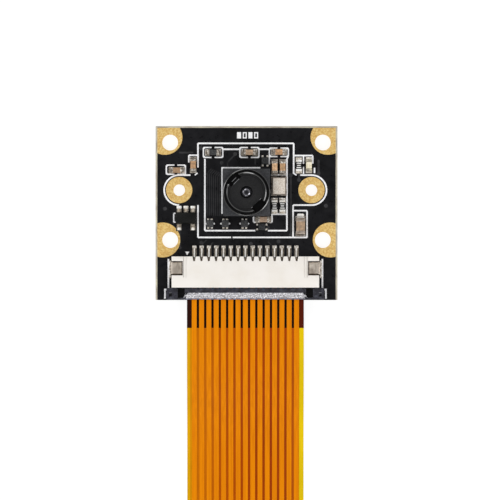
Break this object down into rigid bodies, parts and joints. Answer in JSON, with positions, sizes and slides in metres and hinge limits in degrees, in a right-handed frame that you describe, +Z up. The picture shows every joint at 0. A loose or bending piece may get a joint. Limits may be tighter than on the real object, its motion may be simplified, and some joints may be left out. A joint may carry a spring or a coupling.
{
  "type": "camera module",
  "caption": "Small bare-board camera module: square lens holder with a focus-notched barrel, plated mounting holes, and a sliding-latch connector holding a flat striped ribbon cable.",
  "frame": {"origin": "centre of the board's outline, on the board's underside", "axes": "+X to the right along the code edge, +Y from the cable edge towards the code edge, +Z up out of the lens"},
  "size_m": [0.025, 0.1696, 0.0067],
  "materials": {
    "glass_epoxy": "satin",
    "solder_mask": "gloss",
    "gold_plate": "satin",
    "tinned_copper": "satin",
    "legend_ink": "matte",
    "solder": "satin",
    "black_plastic": "satin",
    "lens_glass": "gloss",
    "filter_glass": "gloss",
    "silicon": "gloss",
    "cream_plastic": "satin",
    "latch_plastic": "satin",
    "amber_film": "gloss",
    "ribbon_copper": "satin",
    "stiffener_film": "satin",
    "mould_compound": "matte",
    "ceramic_brown": "matte",
    "lid_metal": "satin",
    "capacitor_ceramic": "satin",
    "resistor_glaze": "satin",
    "ferrite": "matte",
    "lamp_epoxy": "gloss",
    "ceramic_white": "matte"
  },
  "bodies": {
    "root": {"board_laminate": "glass_epoxy", "front_solder_mask": "solder_mask", "back_solder_mask": "solder_mask", "plated_holes": "gold_plate", "component_pads": "tinned_copper", "printed_legend": "legend_ink", "solder_fillets": "solder", "lens_holder": "black_plastic", "lens_barrel": "black_plastic", "front_lens": "lens_glass", "middle_lens": "lens_glass", "rear_lens": "lens_glass", "lens_retainer": "black_plastic", "infrared_filter": "filter_glass", "image_sensor": "silicon", "connector_housing": "cream_plastic", "connector_contacts": "tinned_copper", "left_hold_down": "tinned_copper", "right_hold_down": "tinned_copper", "ribbon_film": "amber_film", "ribbon_conductors": "ribbon_copper", "near_stiffener": "stiffener_film", "far_stiffener": "stiffener_film", "near_bare_contacts": "tinned_copper", "far_bare_contacts": "tinned_copper", "regulator_body": "mould_compound", "regulator_leads": "tinned_copper", "oscillator_base": "ceramic_brown", "oscillator_lid": "lid_metal", "capacitor_1": "capacitor_ceramic", "capacitor_2": "capacitor_ceramic", "capacitor_3": "capacitor_ceramic", "capacitor_4": "capacitor_ceramic", "capacitor_5": "capacitor_ceramic", "capacitor_6": "capacitor_ceramic", "capacitor_7": "capacitor_ceramic", "large_capacitor": "capacitor_ceramic", "capacitor_ends": "solder", "resistor_1": "resistor_glaze", "resistor_2": "resistor_glaze", "resistor_3": "resistor_glaze", "resistor_ends": "solder", "ferrite_bead": "ferrite", "bead_ends": "solder", "choke_1": "ferrite", "choke_2": "ferrite", "choke_3": "ferrite", "choke_terminals": "solder", "transistor_1": "mould_compound", "transistor_2": "mould_compound", "transistor_leads": "solder", "indicator_lamp": "lamp_epoxy", "lamp_base": "ceramic_white"},
    "latch": {"connector_latch": "latch_plastic"}
  },
  "joints": [
    {"name": "latch_slide", "type": "slide", "parent": "root", "child": "latch", "axis": [0, -1, 0], "range_m": [0, 0.0012]}
  ]
}
